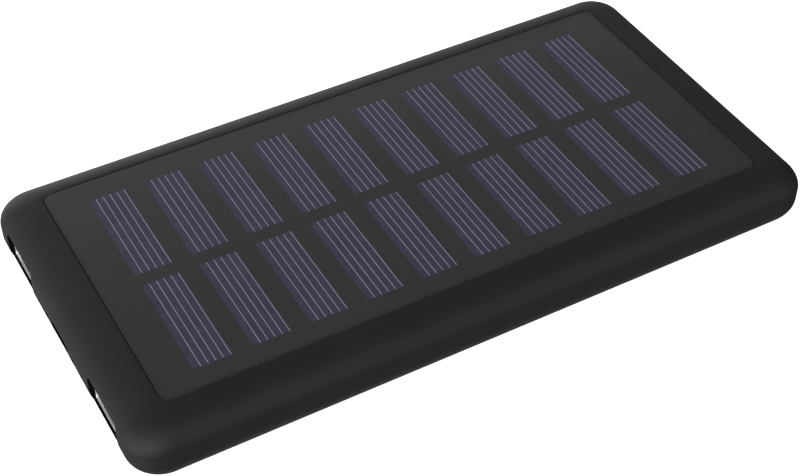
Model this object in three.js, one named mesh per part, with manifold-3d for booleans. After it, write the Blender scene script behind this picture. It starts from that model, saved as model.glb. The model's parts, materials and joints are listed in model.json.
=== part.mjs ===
// Solar phone charger: a flat pocket battery with a solar panel let into its top face.
//
// Millimetres. The origin is under the middle of the charger, +Z is up, +X runs along
// the length away from the sockets, and +Y points at the long side with the button.

import * as THREE from 'three';
import { mergeVertices } from 'three/addons/utils/BufferGeometryUtils.js';
import Module from 'manifold-3d';

const wasm = await Module();
wasm.setup();

// ---------------------------------------------------------------- driving dimensions

const BODY = { length: 144, width: 74, crownZ: 13.7, cornerRadius: 6.5, cornerShrink: 0.5 };
const TOP_ROUND = { across: 7.5, down: 5.2 };
const BASE_ROUND = { across: 7.9, down: 6.2 };
const WALL = 2.0;
const CORNER_STEPS = 6;
const ROUND_STEPS = 6;

// A cutting shape runs this far past what it cuts, and a joined one starts this far inside.
const OVERRUN = 1;
const BURY = 0.5;

const SEAM = { z: 1.8, gap: 0.3 };
const RECESS = { floorZ: 12.0, roofThickness: 1.2, clearance: 0.2 };
const LIP = { gap: 0.25, thickness: 1.2, height: 1.7 };
const SNAP = { width: 8, height: 3.2, barbReach: 0.8, barbHeight: 0.8, ledgeHeight: 0.8, gap: 0.2 };
const SNAP_PLACES_X = [-20, 20, 52];

const PANEL = { length: 126.6, width: 59.5, radius: 1.8, topZ: 14, centreX: -0.15 };
const LAYER = { film: 0.15, cell: 0.2, board: 1.5, glue: 0.2, gap: 0.05 };
const CELLS = {
  columns: 10, rows: 2, pitch: 11.435, length: 7.49, width: 23.17, rowGap: 3.16,
  firstX: -55.78, nearY: -25.24, pocketGap: 0.1,
};

const MAIN_BOARD = {
  frontX: -68.8, length: 30.3, width: 59, thickness: 1.0, topZ: 4.9, socketGap: 0.2,
};
const USB_A = {
  offsetY: 21, centreZ: 6.75, frontX: -70.85, depth: 13.4,
  width: 13.1, height: 5.7, sheet: 0.3, radius: 0.6, clearance: 0.1,
};
const TONGUE = { width: 11.1, thickness: 1.84, setBack: 1.2, rise: 1.0, rootDepth: 2.4, slack: 0.15 };
const CONTACT = { count: 4, pitch: 2.5, width: 1.2, thickness: 0.2, length: 7.6, setBack: 1.2 };
const MICRO = {
  centreZ: 6.25, frontX: -71, depth: 5.2,
  width: 7.5, height: 2.5, chamfer: 1.0, sheet: 0.3, openWidth: 8.1, openHeight: 3.1,
};
const MICRO_TONGUE = { width: 3.6, thickness: 0.6, length: 2.9, rootDepth: 1.6, slack: 0.1 };

const LED = { offsets: [6.6, 11.1], centreZ: 5.95, size: [1.2, 1.6, 1.6], backX: -66.2 };
const GUIDE = { pinRadius: 0.9, hole: 1.1, faceX: -71.8, barFrontX: -69.1, barDepth: 1.2, barHeight: 1.8 };
const GUIDE_OVERHANG = 1.3;

const BUTTON = { x: -47, z: 7, length: 9, height: 3.4, faceY: 36.85, rim: 0.4, clearance: 0.2 };
const BUTTON_FLANGE = { length: 12, height: 4.8, radius: 1, thickness: 0.9, outerY: 34.2 };
const BUTTON_STEM = { length: 4, height: 2.4, radius: 0.6, endY: 31.15 };
const FINGER_DISH = { halfLength: 9, depth: 0.8, halfHeight: 4.4 };
const SWITCH = { size: [4.5, 3.5, 3.7], faceY: 29.3, pocketDepth: 1.3, clearance: 0.15 };
const PLUNGER = { length: 2.4, height: 1.6, radius: 0.3, tipY: 31.05, buried: 0.7 };

const BATTERY = { frontX: -33, length: 97, width: 59, height: 7.4, baseZ: 2.05, radius: 2.2 };
const GUARD_BOARD = { width: 40, depth: 3.2, height: 1.0, z: 5.0, gap: 0.3 };
const BATTERY_PAD = { length: 80, width: 44, thickness: 0.3, radius: 2 };
const LEAD_RADIUS = 0.55;
const LEAD_SIDES = 8;
const LEAD_STEPS = 8;
const BATTERY_LEAD = { peelX: 1.6, liftZ: 1.0, humpZ: 1.2, turnX: 2.0, droopZ: 0.8, padX: 3.6 };
const SOLAR_LEAD = {
  startX: -1, startZ: 0.4, roofX: -0.4, bendX: 1, bendZ: 2.4, dropX: 3.4, dropZ: 0.6, padX: 5.4,
  bendSpread: 1.4, padSpread: 1.6,
};
const BATTERY_LEADS_Y = { positive: -14, negative: -18 };
const SOLAR_SLOT = { x: -52, length: 6, width: 10, radius: 1 };
const SOLAR_LEADS_Y = { positive: 2.4, negative: -2.4 };

const INDUCTOR = { x: -47.5, y: -19, size: 7, height: 3.6, radius: 1.2 };
const CONTROLLER = { x: -60.5, y: 0, size: 5, height: 1.0 };
const BOSS = { x: -41.6, y: 26, radius: 2.4, holeRadius: 1.05, closedEnd: 1 };
const SCREW = {
  headRadius: 1.6, headHeight: 0.9, shankRadius: 0.8, length: 5,
  driveLength: 2.4, driveWidth: 0.5, driveDepth: 0.4,
};
const TOUCH = 0.05;

// ---------------------------------------------------------------- finishes

const finish = (color, roughness, metalness = 0) =>
  new THREE.MeshStandardMaterial({ color, roughness, metalness });

const FINISH = {
  softTouch: finish(0x2c2c2c, 0.62),
  film: finish(0x3a3a3a, 0.4),
  cell: finish(0x3c3a52, 0.35),
  boardGreen: finish(0x1f5136, 0.5),
  boardBlack: finish(0x26272a, 0.5),
  glue: finish(0xd9d6c8, 0.6),
  steel: finish(0xb9bcc0, 0.3, 1),
  gold: finish(0xd8b25a, 0.3, 1),
  insulator: finish(0x151517, 0.5),
  clear: finish(0x8fb4ff, 0.15),
  led: finish(0xe6edf5, 0.3),
  pouch: finish(0xa9adb2, 0.35, 0.6),
  ferrite: finish(0x3a3b3d, 0.7),
  leadRed: finish(0xb02a22, 0.5),
  leadBlack: finish(0x161616, 0.5),
};

// ---------------------------------------------------------------- solids

const WELD = 1e-4;

function toSolid(geometry) {
  const bare = geometry.clone();
  bare.deleteAttribute('normal');
  bare.deleteAttribute('uv');
  const welded = mergeVertices(bare, WELD);
  return new wasm.Manifold(new wasm.Mesh({
    numProp: 3,
    vertProperties: new Float32Array(welded.attributes.position.array),
    triVerts: new Uint32Array(welded.index.array),
  }));
}

function toGeometry(solid) {
  const mesh = solid.getMesh();
  const geometry = new THREE.BufferGeometry();
  geometry.setAttribute('position', new THREE.BufferAttribute(mesh.vertProperties, 3));
  geometry.setIndex(new THREE.BufferAttribute(mesh.triVerts, 1));
  geometry.computeVertexNormals();
  return geometry;
}

// One geometry from a base shape, the shapes joined to it and the shapes cut from it.
function carve(base, { join = [], cut = [] }) {
  let solid = toSolid(base);
  for (const shape of join) solid = solid.add(toSolid(shape));
  for (const shape of cut) solid = solid.subtract(toSolid(shape));
  return toGeometry(solid);
}

const box = (x, y, z) => new THREE.BoxGeometry(x, y, z);

// A box given by its lowest and highest corners.
function block([x0, y0, z0], [x1, y1, z1]) {
  return box(x1 - x0, y1 - y0, z1 - z0).translate((x0 + x1) / 2, (y0 + y1) / 2, (z0 + z1) / 2);
}

function roundedShape(length, width, radius) {
  const x = length / 2 - radius;
  const y = width / 2 - radius;
  const quarter = Math.PI / 2;
  const shape = new THREE.Shape();
  shape.absarc(x, y, radius, 0, quarter);
  shape.absarc(-x, y, radius, quarter, 2 * quarter);
  shape.absarc(-x, -y, radius, 2 * quarter, 3 * quarter);
  shape.absarc(x, -y, radius, 3 * quarter, 4 * quarter);
  return shape;
}

// A rounded plate standing on z = 0.
function plate(length, width, radius, thickness, curveSegments = 3) {
  const shape = roundedShape(length, width, radius);
  return new THREE.ExtrudeGeometry(shape, { depth: thickness, bevelEnabled: false, curveSegments });
}

// The same plate lying along +X from x = 0: its width runs along Y and its height along Z.
const barAlongX = (width, height, radius, depth, curveSegments) =>
  plate(height, width, radius, depth, curveSegments).rotateY(Math.PI / 2);

// The same plate standing along Y: it reaches from y = -depth to y = 0.
const barAlongY = (length, height, radius, depth, curveSegments) =>
  plate(length, height, radius, depth, curveSegments).rotateX(Math.PI / 2);

function pinAlongX(radius, fromX, toX, y, z, sides = 12) {
  const pin = new THREE.CylinderGeometry(radius, radius, toX - fromX, sides).rotateZ(Math.PI / 2);
  return pin.translate((fromX + toX) / 2, y, z);
}

function postAlongZ(radius, fromZ, toZ, x, y, sides = 12) {
  const post = new THREE.CylinderGeometry(radius, radius, toZ - fromZ, sides).rotateX(Math.PI / 2);
  return post.translate(x, y, (fromZ + toZ) / 2);
}

// A wire through the given points.
function lead(points) {
  const path = new THREE.CatmullRomCurve3(points.map((p) => new THREE.Vector3(...p)));
  const section = new THREE.Shape();
  for (let side = 0; side < LEAD_SIDES; side++) {
    const angle = (2 * Math.PI * side) / LEAD_SIDES;
    const move = side === 0 ? 'moveTo' : 'lineTo';
    section[move](LEAD_RADIUS * Math.cos(angle), LEAD_RADIUS * Math.sin(angle));
  }
  return new THREE.ExtrudeGeometry(section, { steps: LEAD_STEPS, extrudePath: path, bevelEnabled: false });
}

// ---------------------------------------------------------------- the pillow shape

// How far the side stands in from the widest section at height z.
function insetAt(z) {
  const intoTop = Math.min((z - (BODY.crownZ - TOP_ROUND.down)) / TOP_ROUND.down, 1);
  const intoBase = Math.min((BASE_ROUND.down - z) / BASE_ROUND.down, 1);
  if (intoTop > 0) return TOP_ROUND.across * (1 - Math.sqrt(1 - intoTop ** 2));
  if (intoBase > 0) return BASE_ROUND.across * (1 - Math.sqrt(1 - intoBase ** 2));
  return 0;
}

// The closed outline of the body, inset by the given amount, at height z.
function ringAt(inset, z) {
  const radius = Math.max(BODY.cornerRadius - BODY.cornerShrink * inset, 1);
  const x = BODY.length / 2 - inset - radius;
  const y = BODY.width / 2 - inset - radius;
  const corners = [[x, y], [-x, y], [-x, -y], [x, -y]];
  return corners.flatMap(([cx, cy], quarter) =>
    Array.from({ length: CORNER_STEPS + 1 }, (_, step) => {
      const angle = ((quarter + step / CORNER_STEPS) * Math.PI) / 2;
      return [cx + radius * Math.cos(angle), cy + radius * Math.sin(angle), z];
    }));
}

// A closed body through a stack of rings, from the lowest to the highest.
function loft(rings) {
  const count = rings[0].length;
  const top = (rings.length - 1) * count;
  const index = [];
  for (let level = 0; level + 1 < rings.length; level++) {
    for (let i = 0; i < count; i++) {
      const a = level * count + i;
      const b = level * count + ((i + 1) % count);
      index.push(a, b, b + count, a, b + count, a + count);
    }
  }
  for (let i = 1; i + 1 < count; i++) {
    index.push(0, i + 1, i, top, top + i, top + i + 1);
  }
  const geometry = new THREE.BufferGeometry();
  geometry.setAttribute('position', new THREE.Float32BufferAttribute(rings.flat(2), 3));
  geometry.setIndex(index);
  return geometry;
}

// Heights that follow the rounded side from one level to another.
function sideLevels(fromZ, toZ) {
  const quarter = Math.PI / 2;
  const steps = Array.from({ length: ROUND_STEPS + 1 }, (_, step) => step / ROUND_STEPS);
  const base = steps.map((t) => BASE_ROUND.down * (1 - Math.cos(t * quarter)));
  const top = steps.map((t) => BODY.crownZ - TOP_ROUND.down * (1 - Math.sin(t * quarter)));
  const between = [...base, ...top].filter((z) => z > fromZ + WELD && z < toZ - WELD);
  return [fromZ, ...between.sort((a, b) => a - b), toZ];
}

const pillow = (fromZ, toZ, wall = 0) =>
  loft(sideLevels(fromZ, toZ).map((z) => ringAt(insetAt(z) + wall, z)));

const prism = (inset, fromZ, toZ) => loft([ringAt(inset, fromZ), ringAt(inset, toZ)]);

// ---------------------------------------------------------------- casing

const LIP_INSET = insetAt(SEAM.z) + WALL + LIP.gap;
const ROOF_Z = RECESS.floorZ - RECESS.roofThickness;
const COVER_TOP_Z = SEAM.z - SEAM.gap / 2;
const CASING_BASE_Z = SEAM.z + SEAM.gap / 2;

// Where a snap hook's outer face stands, on the long sides and on the far end.
const SNAP_FACE_Y = BODY.width / 2 - LIP_INSET;
const SNAP_FACE_X = BODY.length / 2 - LIP_INSET;
const OPENING_REACH = WALL + 3;
const SNAP_LEDGE_Z = COVER_TOP_Z + SNAP.height - SNAP.barbHeight - SNAP.gap - SNAP.ledgeHeight;

function portOpenings() {
  const startX = -BODY.length / 2 - OVERRUN;
  const shapes = [-1, 1].map((side) => {
    const width = USB_A.width + 2 * USB_A.clearance;
    const height = USB_A.height + 2 * USB_A.clearance;
    return barAlongX(width, height, USB_A.radius, OPENING_REACH)
      .translate(startX, side * USB_A.offsetY, USB_A.centreZ);
  });
  shapes.push(barAlongX(MICRO.openWidth, MICRO.openHeight, MICRO.chamfer, OPENING_REACH)
    .translate(startX, 0, MICRO.centreZ));
  for (const side of [-1, 1]) {
    for (const offset of LED.offsets) {
      shapes.push(pinAlongX(GUIDE.hole, startX, startX + OPENING_REACH, side * offset, LED.centreZ));
    }
  }
  return shapes;
}

function buttonOpening() {
  const dish = new THREE.SphereGeometry(1, 16, 10)
    .scale(FINGER_DISH.halfLength, FINGER_DISH.depth, FINGER_DISH.halfHeight)
    .translate(BUTTON.x, BODY.width / 2, BUTTON.z);
  const length = BUTTON.length + 2 * BUTTON.clearance;
  const height = BUTTON.height + 2 * BUTTON.clearance;
  const hole = barAlongY(length, height, height / 2 - WELD, OPENING_REACH, 6)
    .translate(BUTTON.x, BODY.width / 2 + OVERRUN, BUTTON.z);
  return [dish, hole];
}

function snapLedges() {
  const half = SNAP.width / 2;
  const top = SNAP_LEDGE_Z + SNAP.ledgeHeight;
  const insideWall = WALL / 2;
  const faceY = SNAP_FACE_Y + SNAP.gap;
  const wallY = BODY.width / 2 - insetAt(SNAP_LEDGE_Z) - insideWall;
  const sides = SNAP_PLACES_X.flatMap((x) => [
    block([x - half, faceY, SNAP_LEDGE_Z], [x + half, wallY, top]),
    block([x - half, -wallY, SNAP_LEDGE_Z], [x + half, -faceY, top]),
  ]);
  const faceX = SNAP_FACE_X + SNAP.gap;
  const wallX = BODY.length / 2 - insetAt(SNAP_LEDGE_Z) - insideWall;
  const end = block([faceX, -half, SNAP_LEDGE_Z], [wallX, half, top]);
  return [...sides, end];
}

// The wires' way through a layer that stands on z = 0.
const solarSlot = (thickness) =>
  plate(SOLAR_SLOT.length, SOLAR_SLOT.width, SOLAR_SLOT.radius, thickness + 2 * OVERRUN)
    .translate(SOLAR_SLOT.x, 0, -OVERRUN);

function upperCasing() {
  const cavity = pillow(SEAM.z - OVERRUN, ROOF_Z, WALL);
  const recess = plate(
    PANEL.length + 2 * RECESS.clearance, PANEL.width + 2 * RECESS.clearance,
    PANEL.radius + RECESS.clearance, BODY.crownZ, 4).translate(PANEL.centreX, 0, RECESS.floorZ);
  const hollow = carve(pillow(CASING_BASE_Z, BODY.crownZ), { cut: [cavity, recess] });
  const bossBaseZ = MAIN_BOARD.topZ + TOUCH;
  const bosses = [-1, 1].map((side) =>
    postAlongZ(BOSS.radius, bossBaseZ, ROOF_Z + BURY, BOSS.x, side * BOSS.y));
  const bossHoles = [-1, 1].map((side) =>
    postAlongZ(BOSS.holeRadius, bossBaseZ - OVERRUN, ROOF_Z - BOSS.closedEnd, BOSS.x, side * BOSS.y));
  const wireSlot = solarSlot(RECESS.roofThickness).translate(0, 0, ROOF_Z);
  return carve(hollow, {
    join: [...bosses, ...snapLedges()],
    cut: [...bossHoles, wireSlot, ...portOpenings(), ...buttonOpening()],
  });
}

// A hook on the cover's lip: a tab along X with its barb pointing to +Y.
function snapHook() {
  const half = SNAP.width / 2;
  const top = COVER_TOP_Z + SNAP.height;
  const tab = block([-half, -LIP.thickness, COVER_TOP_Z - BURY], [half, 0, top]);
  const barb = block([-half, -LIP.thickness / 2, top - SNAP.barbHeight], [half, SNAP.barbReach, top]);
  return [tab, barb];
}

function rearCover() {
  const lipTop = COVER_TOP_Z + LIP.height;
  const lip = carve(prism(LIP_INSET, COVER_TOP_Z - BURY, lipTop), {
    cut: [prism(LIP_INSET + LIP.thickness, COVER_TOP_Z - OVERRUN, lipTop + OVERRUN)],
  });
  const hooks = SNAP_PLACES_X.flatMap((x) => [
    ...snapHook().map((shape) => shape.translate(x, SNAP_FACE_Y, 0)),
    ...snapHook().map((shape) => shape.rotateZ(Math.PI).translate(x, -SNAP_FACE_Y, 0)),
  ]);
  const endHook = snapHook().map((shape) => shape.rotateZ(-Math.PI / 2).translate(SNAP_FACE_X, 0, 0));
  return carve(pillow(0, COVER_TOP_Z), { join: [lip, ...hooks, ...endHook] });
}

// ---------------------------------------------------------------- scene graph helpers

const charger = new THREE.Group();

function piece(parent, name, geometry, material, place = [0, 0, 0]) {
  const mesh = new THREE.Mesh(geometry, material);
  mesh.name = name;
  mesh.position.set(...place);
  parent.add(mesh);
  return mesh;
}

function subassembly(x = 0, y = 0, z = 0) {
  const group = new THREE.Group();
  group.position.set(x, y, z);
  charger.add(group);
  return group;
}

// ---------------------------------------------------------------- solar panel

// The cells lie in pockets of the board, level with its top, under one film.
function addPanel() {
  const panel = subassembly(PANEL.centreX);
  const filmZ = PANEL.topZ - LAYER.film;
  const boardZ = filmZ - LAYER.gap - LAYER.board;
  const cellZ = boardZ + LAYER.board - LAYER.cell;
  const glueZ = boardZ - LAYER.gap - LAYER.glue;
  const sheet = (thickness) => plate(PANEL.length, PANEL.width, PANEL.radius, thickness, 4);

  const pockets = [];
  for (let row = 0; row < CELLS.rows; row++) {
    for (let column = 0; column < CELLS.columns; column++) {
      const name = `solar_cell_r${row + 1}_c${String(column + 1).padStart(2, '0')}`;
      const x = CELLS.firstX + column * CELLS.pitch + CELLS.length / 2;
      const y = CELLS.nearY + row * (CELLS.width + CELLS.rowGap) + CELLS.width / 2;
      piece(panel, name, box(CELLS.length, CELLS.width, LAYER.cell), FINISH.cell,
        [x, y, cellZ + LAYER.cell / 2]);
      pockets.push(box(
        CELLS.length + 2 * CELLS.pocketGap, CELLS.width + 2 * CELLS.pocketGap,
        2 * (LAYER.cell + LAYER.gap)).translate(x, y, LAYER.board));
    }
  }

  piece(panel, 'panel_film', sheet(LAYER.film), FINISH.film, [0, 0, filmZ]);
  piece(panel, 'panel_board', carve(sheet(LAYER.board), { cut: pockets }), FINISH.boardBlack,
    [0, 0, boardZ]);
  piece(panel, 'panel_adhesive', carve(sheet(LAYER.glue), { cut: [solarSlot(LAYER.glue)] }),
    FINISH.glue, [0, 0, glueZ]);
  return boardZ;
}

// ---------------------------------------------------------------- sockets

function addUsbA(name, side) {
  const socket = subassembly(USB_A.frontX, side * USB_A.offsetY, USB_A.centreZ);
  const innerWidth = USB_A.width - 2 * USB_A.sheet;
  const innerHeight = USB_A.height - 2 * USB_A.sheet;

  const shell = carve(barAlongX(USB_A.width, USB_A.height, USB_A.radius, USB_A.depth), {
    cut: [barAlongX(innerWidth, innerHeight, USB_A.radius - USB_A.sheet, USB_A.depth + 2 * OVERRUN)
      .translate(-OVERRUN, 0, 0)],
  });
  piece(socket, `usb_a_shell_${name}`, shell, FINISH.steel);

  const rootX = USB_A.depth - TONGUE.rootDepth;
  const root = block(
    [rootX, -innerWidth / 2 + TONGUE.slack, -innerHeight / 2 + TONGUE.slack],
    [USB_A.depth, innerWidth / 2 - TONGUE.slack, innerHeight / 2 - TONGUE.slack]);
  const tongueBase = TONGUE.rise - TONGUE.thickness / 2;
  const tongue = block(
    [TONGUE.setBack, -TONGUE.width / 2, tongueBase],
    [rootX + BURY, TONGUE.width / 2, tongueBase + TONGUE.thickness]);
  piece(socket, `usb_a_tongue_${name}`, carve(root, { join: [tongue] }), FINISH.insulator);

  for (let pin = 0; pin < CONTACT.count; pin++) {
    const y = (pin - (CONTACT.count - 1) / 2) * CONTACT.pitch;
    const x = TONGUE.setBack + CONTACT.setBack + CONTACT.length / 2;
    const z = tongueBase - TOUCH - CONTACT.thickness / 2;
    piece(socket, `usb_a_contact_${name}_${pin + 1}`,
      box(CONTACT.length, CONTACT.width, CONTACT.thickness), FINISH.gold, [x, y, z]);
  }
}

// The micro socket's section: a box with its two lower corners cut off.
function microSection(width, height, chamfer) {
  const shape = new THREE.Shape();
  shape.moveTo(-height / 2, -width / 2);
  shape.lineTo(height / 2 - chamfer, -width / 2);
  shape.lineTo(height / 2, -width / 2 + chamfer);
  shape.lineTo(height / 2, width / 2 - chamfer);
  shape.lineTo(height / 2 - chamfer, width / 2);
  shape.lineTo(-height / 2, width / 2);
  shape.closePath();
  return shape;
}

const microBar = (width, height, chamfer, depth) =>
  new THREE.ExtrudeGeometry(microSection(width, height, chamfer), { depth, bevelEnabled: false })
    .rotateY(Math.PI / 2);

function addMicroUsb() {
  const socket = subassembly(MICRO.frontX, 0, MICRO.centreZ);
  const innerWidth = MICRO.width - 2 * MICRO.sheet;
  const innerHeight = MICRO.height - 2 * MICRO.sheet;
  const innerChamfer = MICRO.chamfer - MICRO.sheet / 2;
  const shell = carve(microBar(MICRO.width, MICRO.height, MICRO.chamfer, MICRO.depth), {
    cut: [microBar(innerWidth, innerHeight, innerChamfer, MICRO.depth + 2 * OVERRUN)
      .translate(-OVERRUN, 0, 0)],
  });
  piece(socket, 'micro_usb_shell', shell, FINISH.steel);

  const slack = MICRO_TONGUE.slack;
  const rootX = MICRO.depth - MICRO_TONGUE.rootDepth;
  const root = microBar(
    innerWidth - 2 * slack, innerHeight - 2 * slack, innerChamfer, MICRO_TONGUE.rootDepth)
    .translate(rootX, 0, 0);
  const tongue = block(
    [rootX - MICRO_TONGUE.length, -MICRO_TONGUE.width / 2, -MICRO_TONGUE.thickness / 2],
    [rootX + BURY, MICRO_TONGUE.width / 2, MICRO_TONGUE.thickness / 2]);
  piece(socket, 'micro_usb_tongue', carve(root, { join: [tongue] }), FINISH.insulator);
}

// ---------------------------------------------------------------- charge lights

function addLights() {
  const lights = subassembly();
  let number = 1;
  for (const [name, side] of [['front', -1], ['back', 1]]) {
    const [inner, outer] = LED.offsets.map((offset) => side * offset);
    const low = Math.min(inner, outer) - GUIDE_OVERHANG;
    const high = Math.max(inner, outer) + GUIDE_OVERHANG;
    const bar = block(
      [GUIDE.barFrontX, low, LED.centreZ - GUIDE.barHeight / 2],
      [GUIDE.barFrontX + GUIDE.barDepth, high, LED.centreZ + GUIDE.barHeight / 2]);
    const pins = [inner, outer].map((y) =>
      pinAlongX(GUIDE.pinRadius, GUIDE.faceX, GUIDE.barFrontX + GUIDE.barDepth / 2, y, LED.centreZ));
    piece(lights, `light_guide_${name}`, carve(bar, { join: pins }), FINISH.clear);
    for (const y of [inner, outer]) {
      const z = MAIN_BOARD.topZ + TOUCH + LED.size[2] / 2;
      piece(lights, `charge_led_${number}`, box(...LED.size), FINISH.led,
        [LED.backX - LED.size[0] / 2, y, z]);
      number += 1;
    }
  }
}

// ---------------------------------------------------------------- button and switch

function addButton() {
  const button = subassembly(BUTTON.x, 0, BUTTON.z);
  const capDepth = BUTTON.faceY - BUTTON_FLANGE.outerY;
  const { rim } = BUTTON;
  const cap = barAlongY(BUTTON.length, BUTTON.height, BUTTON.height / 2 - WELD, capDepth - rim, 6)
    .translate(0, BUTTON.faceY - rim, 0);
  const crown = barAlongY(
    BUTTON.length - 2 * rim, BUTTON.height - 2 * rim, BUTTON.height / 2 - rim - WELD, capDepth, 6)
    .translate(0, BUTTON.faceY, 0);
  const flange = barAlongY(
    BUTTON_FLANGE.length, BUTTON_FLANGE.height, BUTTON_FLANGE.radius, BUTTON_FLANGE.thickness)
    .translate(0, BUTTON_FLANGE.outerY + TOUCH, 0);
  const stemDepth = BUTTON_FLANGE.outerY - BUTTON_STEM.endY;
  const stem = barAlongY(BUTTON_STEM.length, BUTTON_STEM.height, BUTTON_STEM.radius, stemDepth)
    .translate(0, BUTTON_FLANGE.outerY, 0);
  piece(button, 'power_button', carve(cap, { join: [crown, flange, stem] }), FINISH.softTouch);

  const plungerDepth = PLUNGER.tipY - SWITCH.faceY + PLUNGER.buried;
  const plunger = barAlongY(PLUNGER.length, PLUNGER.height, PLUNGER.radius, plungerDepth)
    .translate(0, PLUNGER.tipY, 0);
  piece(button, 'switch_plunger', plunger, FINISH.insulator);

  const [length, depth, height] = SWITCH.size;
  const baseZ = MAIN_BOARD.topZ + TOUCH - BUTTON.z;
  const housing = block(
    [-length / 2, SWITCH.faceY - depth, baseZ], [length / 2, SWITCH.faceY, baseZ + height]);
  const pocket = barAlongY(
    PLUNGER.length + 2 * SWITCH.clearance, PLUNGER.height + 2 * SWITCH.clearance, PLUNGER.radius,
    SWITCH.pocketDepth + OVERRUN).translate(0, SWITCH.faceY + OVERRUN, 0);
  piece(button, 'tact_switch', carve(housing, { cut: [pocket] }), FINISH.steel);
}

// ---------------------------------------------------------------- main board

function mainBoard() {
  const half = MAIN_BOARD.width / 2;
  const rearX = MAIN_BOARD.frontX + MAIN_BOARD.length;
  const boardZ = MAIN_BOARD.topZ - MAIN_BOARD.thickness;
  const board = block([MAIN_BOARD.frontX, -half, boardZ], [rearX, half, MAIN_BOARD.topZ]);
  const socketCuts = [-1, 1].map((side) => {
    const halfCut = USB_A.width / 2 + MAIN_BOARD.socketGap;
    const y = side * USB_A.offsetY;
    return block(
      [MAIN_BOARD.frontX - OVERRUN, y - halfCut, boardZ - OVERRUN],
      [USB_A.frontX + USB_A.depth + MAIN_BOARD.socketGap, y + halfCut, MAIN_BOARD.topZ + OVERRUN]);
  });
  const screwHoles = [-1, 1].map((side) =>
    postAlongZ(
      BOSS.holeRadius, boardZ - OVERRUN, MAIN_BOARD.topZ + OVERRUN, BOSS.x, side * BOSS.y));
  return carve(board, { cut: [...socketCuts, ...screwHoles] });
}

function boardScrew() {
  const head = postAlongZ(SCREW.headRadius, -SCREW.headHeight, 0, 0, 0);
  const shank = postAlongZ(SCREW.shankRadius, -SCREW.headHeight / 2, SCREW.length, 0, 0, 8);
  const slot = box(SCREW.driveLength, SCREW.driveWidth, 2 * SCREW.driveDepth);
  const drive = [slot, slot.clone().rotateZ(Math.PI / 2)]
    .map((shape) => shape.translate(0, 0, -SCREW.headHeight));
  return carve(head, { join: [shank], cut: drive });
}

function addBoard() {
  const board = subassembly();
  const onTop = MAIN_BOARD.topZ + TOUCH;
  piece(board, 'main_board', mainBoard(), FINISH.boardGreen);
  piece(board, 'boost_inductor', plate(INDUCTOR.size, INDUCTOR.size, INDUCTOR.radius, INDUCTOR.height),
    FINISH.ferrite, [INDUCTOR.x, INDUCTOR.y, onTop]);
  piece(board, 'charge_controller', box(CONTROLLER.size, CONTROLLER.size, CONTROLLER.height),
    FINISH.insulator, [CONTROLLER.x, CONTROLLER.y, onTop + CONTROLLER.height / 2]);
  const headZ = MAIN_BOARD.topZ - MAIN_BOARD.thickness - TOUCH;
  piece(board, 'board_screw_front', boardScrew(), FINISH.steel, [BOSS.x, -BOSS.y, headZ]);
  piece(board, 'board_screw_back', boardScrew(), FINISH.steel, [BOSS.x, BOSS.y, headZ]);
}

// ---------------------------------------------------------------- battery and leads

function addBattery() {
  const battery = subassembly(BATTERY.frontX, 0, BATTERY.baseZ);
  const pouch = barAlongX(BATTERY.width, BATTERY.height, BATTERY.radius, BATTERY.length, 3);
  piece(battery, 'battery_cell', pouch, FINISH.pouch, [0, 0, BATTERY.height / 2]);
  const padX = BATTERY.length / 2;
  const padZ = -TOUCH - BATTERY_PAD.thickness;
  piece(battery, 'battery_adhesive', plate(
    BATTERY_PAD.length, BATTERY_PAD.width, BATTERY_PAD.radius, BATTERY_PAD.thickness),
  FINISH.glue, [padX, 0, padZ]);
  const guard = box(GUARD_BOARD.depth, GUARD_BOARD.width, GUARD_BOARD.height);
  piece(battery, 'battery_guard_board', guard, FINISH.boardGreen,
    [-GUARD_BOARD.depth / 2 - GUARD_BOARD.gap, 0, GUARD_BOARD.z - BATTERY.baseZ]);
}

function addLeads(panelBoardZ) {
  const leads = subassembly();
  const rest = LEAD_RADIUS + TOUCH;
  const padZ = MAIN_BOARD.topZ + rest;
  const guardX = BATTERY.frontX - GUARD_BOARD.depth / 2 - GUARD_BOARD.gap;
  const guardZ = GUARD_BOARD.z + GUARD_BOARD.height / 2 + rest;
  const boardRearX = MAIN_BOARD.frontX + MAIN_BOARD.length;
  const finishes = { positive: FINISH.leadRed, negative: FINISH.leadBlack };
  const fromGuard = BATTERY_LEAD;
  for (const [pole, y] of Object.entries(BATTERY_LEADS_Y)) {
    const path = lead([
      [guardX, y, guardZ],
      [guardX - fromGuard.peelX, y, guardZ + fromGuard.liftZ],
      [boardRearX, y, guardZ + fromGuard.humpZ],
      [boardRearX - fromGuard.turnX, y, padZ + fromGuard.droopZ],
      [boardRearX - fromGuard.padX, y, padZ],
    ]);
    piece(leads, `battery_lead_${pole}`, path, finishes[pole]);
  }
  const fromPanel = SOLAR_LEAD;
  for (const [pole, y] of Object.entries(SOLAR_LEADS_Y)) {
    const path = lead([
      [SOLAR_SLOT.x + fromPanel.startX, y, panelBoardZ - fromPanel.startZ],
      [SOLAR_SLOT.x + fromPanel.roofX, y, ROOF_Z],
      [SOLAR_SLOT.x + fromPanel.bendX, fromPanel.bendSpread * y, ROOF_Z - fromPanel.bendZ],
      [SOLAR_SLOT.x + fromPanel.dropX, fromPanel.padSpread * y, padZ + fromPanel.dropZ],
      [SOLAR_SLOT.x + fromPanel.padX, fromPanel.padSpread * y, padZ],
    ]);
    piece(leads, `solar_lead_${pole}`, path, finishes[pole]);
  }
}

// ---------------------------------------------------------------- assembly

piece(charger, 'upper_casing', upperCasing(), FINISH.softTouch);
piece(charger, 'rear_cover', rearCover(), FINISH.softTouch);
const panelBoardZ = addPanel();
addUsbA('front', -1);
addUsbA('back', 1);
addMicroUsb();
addLights();
addButton();
addBoard();
addBattery();
addLeads(panelBoardZ);

export default charger;
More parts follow.
